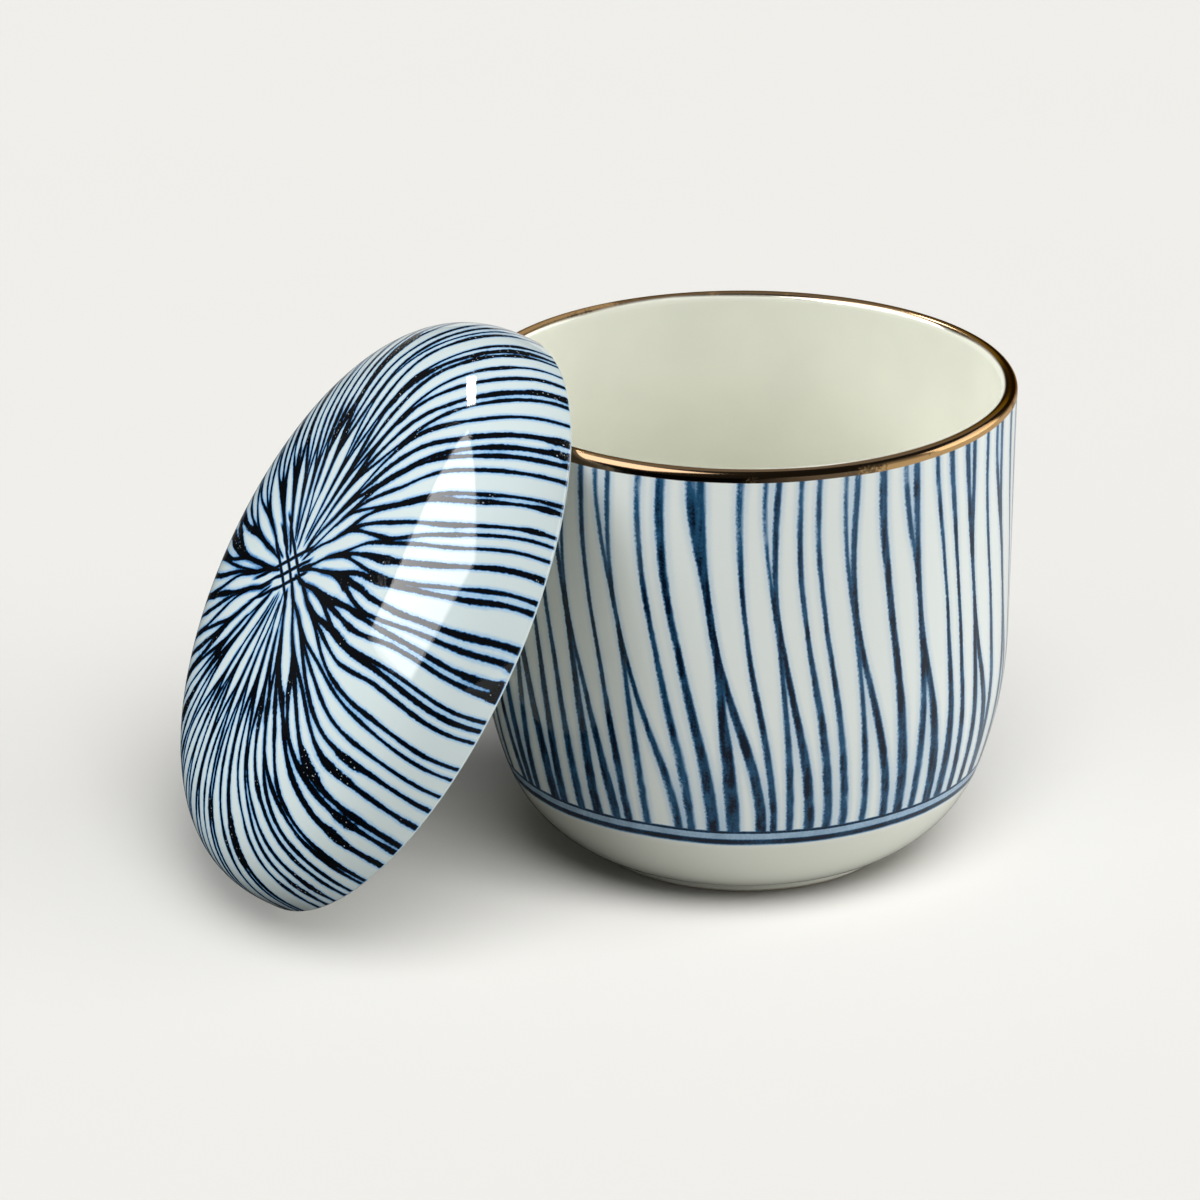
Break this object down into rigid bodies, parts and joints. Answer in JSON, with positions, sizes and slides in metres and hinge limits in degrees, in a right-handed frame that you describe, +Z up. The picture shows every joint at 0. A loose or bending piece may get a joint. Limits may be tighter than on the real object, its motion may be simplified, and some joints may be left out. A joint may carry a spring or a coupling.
{
  "type": "chawanmushi bowl",
  "caption": "Straight-sided porcelain cup with a rounded lip and a low foot ring, and a wide domed cover lid that leans on it, for steaming and serving savoury custard.",
  "frame": {"origin": "middle of the footprint of the bowl and its leaning lid, on the surface they stand on", "axes": "+X from the lid towards the bowl, +Z up, and the lean lies in the XZ plane"},
  "size_m": [0.124, 0.091, 0.0819],
  "materials": {
    "bowl_glaze": "glossy clear glaze on white porcelain, brushed cobalt stripes outside, dark lustre band on the lip",
    "lid_glaze": "glossy clear glaze on white porcelain, brushed cobalt stripes that run from the crown to the edge"
  },
  "bodies": {
    "bowl": {"bowl": "bowl_glaze"},
    "lid": {"lid": "lid_glaze"}
  },
  "joints": [
    {"name": "lid_lift", "type": "slide", "parent": "bowl", "child": "lid", "axis": [0, 0, 1], "range_m": [0, 0.08]}
  ]
}
